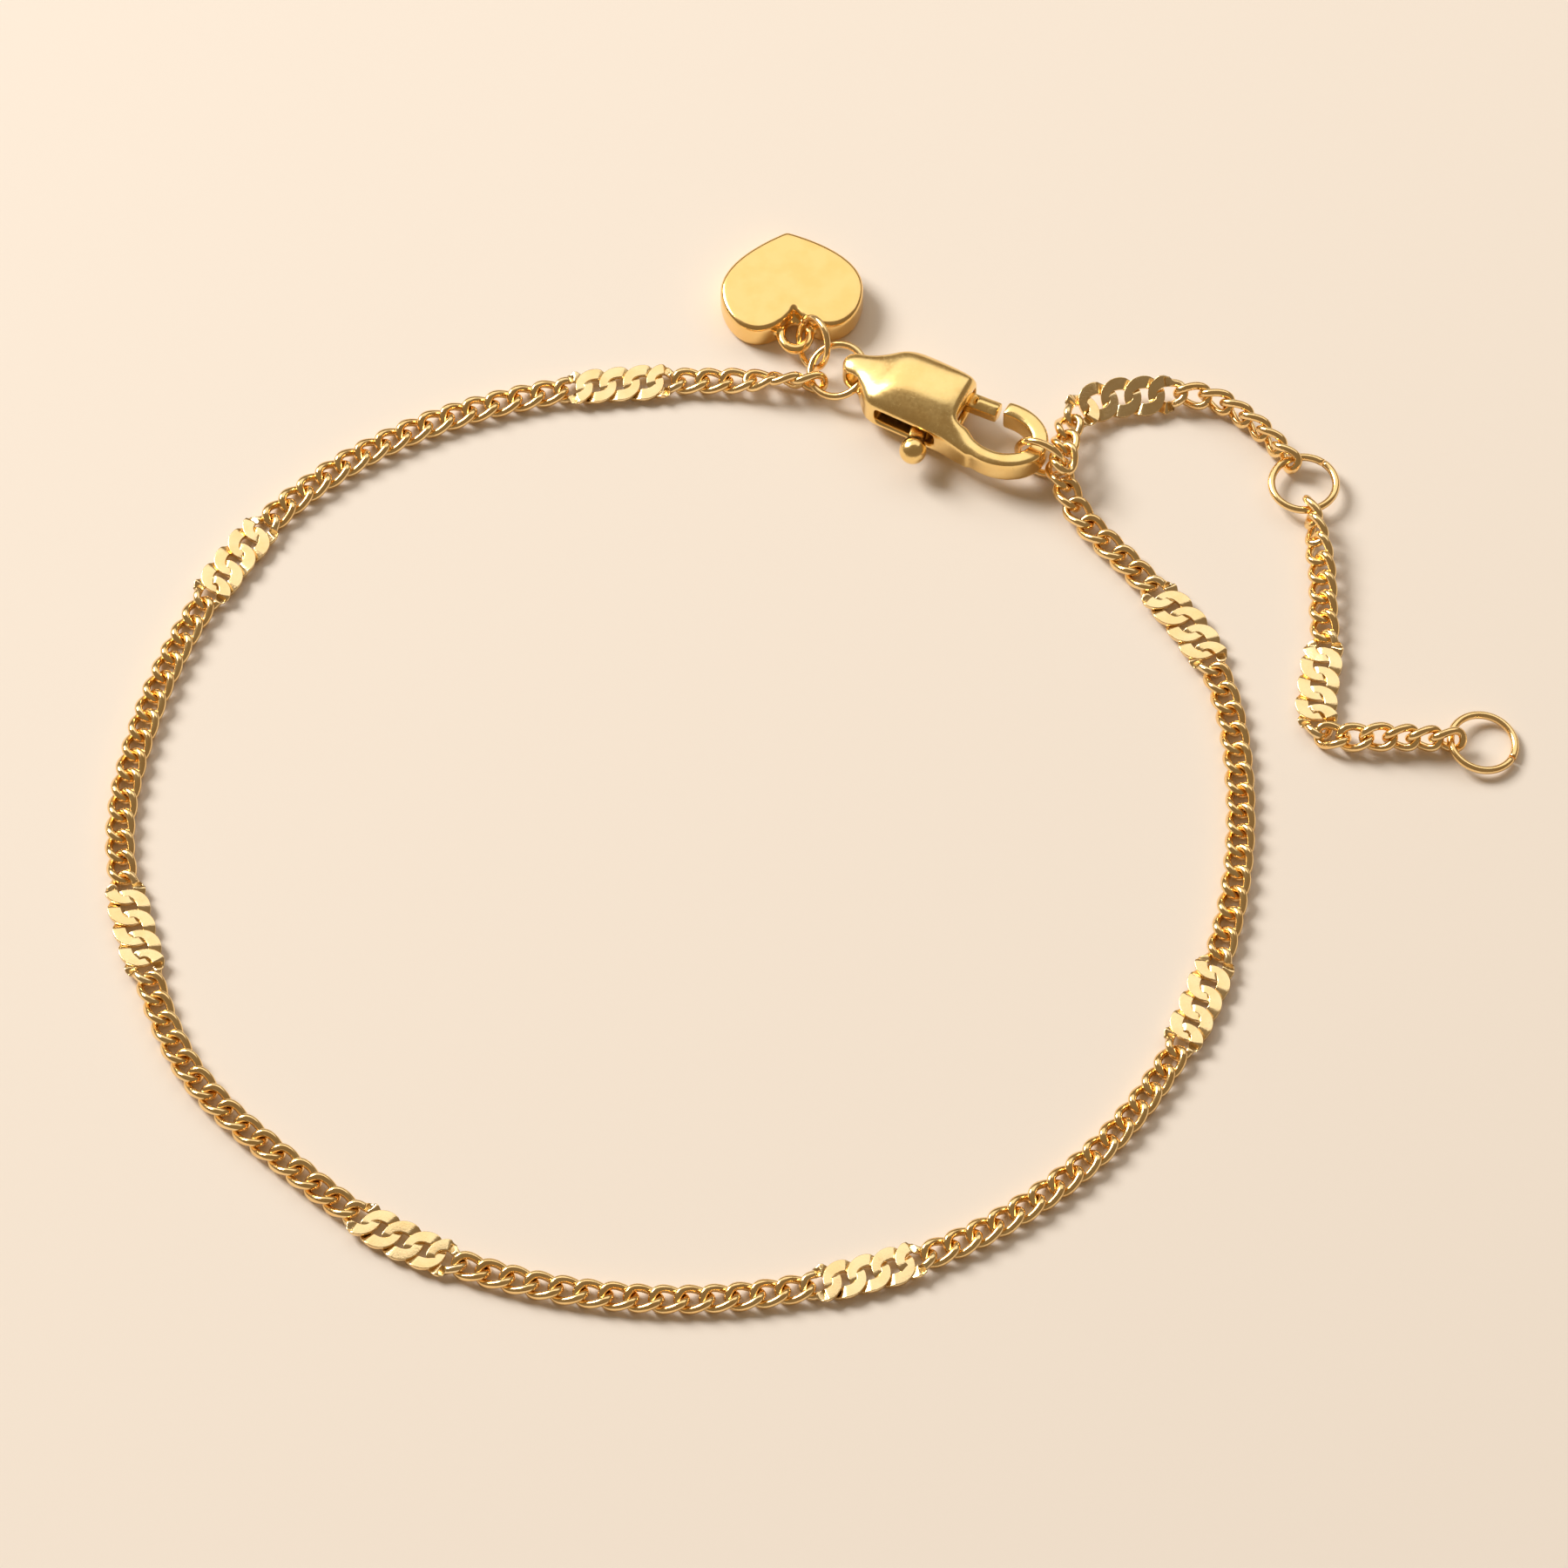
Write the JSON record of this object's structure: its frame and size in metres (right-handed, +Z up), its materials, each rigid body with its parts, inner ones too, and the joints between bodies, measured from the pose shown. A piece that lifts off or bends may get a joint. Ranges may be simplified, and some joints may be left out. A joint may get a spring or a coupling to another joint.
{
  "type": "flat chain bracelet",
  "caption": "Fine curb chain bracelet with groups of links pressed flat, a lobster clasp, a small heart charm and an extender chain with rings, lying fastened as a loop.",
  "frame": {"origin": "middle of the table area that the bracelet covers, at the table's height", "axes": "+Z up out of the table, +X towards the extender's end ring, +Y towards the clasp and the heart"},
  "size_m": [0.0676, 0.0612, 0.0029],
  "materials": {
    "wire": "polished gold-plated steel wire",
    "flats": "bright pressed gold-plated faces",
    "clasp": "smooth gold-plated casting, soft sheen",
    "heart": "polished gold-plated face"
  },
  "bodies": {
    "bracelet": {"links_at_clasp": "wire", "links_at_hook": "wire", "flat_links_1": "flats", "flat_links_2": "flats", "flat_links_3": "flats", "flat_links_4": "flats", "flat_links_5": "flats", "plain_run_1": "wire", "plain_run_2": "wire", "plain_run_3": "wire", "plain_run_4": "wire", "plain_run_5": "wire", "plain_run_6": "wire", "extender_links_upper": "wire", "extender_links_lower": "wire", "extender_ring": "wire", "end_ring": "wire", "clasp_body": "clasp", "clasp_jump_ring": "wire", "junction_ring": "wire", "heart_charm": "heart", "charm_ring": "wire"},
    "lever": {"clasp_lever": "clasp"}
  },
  "joints": [
    {"name": "clasp_lever_hinge", "type": "hinge", "parent": "bracelet", "child": "lever", "pos_m": [0.00567, 0.0206, 0.00145], "axis": [0, 0, -1], "range_deg": [0, 24], "stiffness_Nm_per_rad": 0.00005}
  ]
}
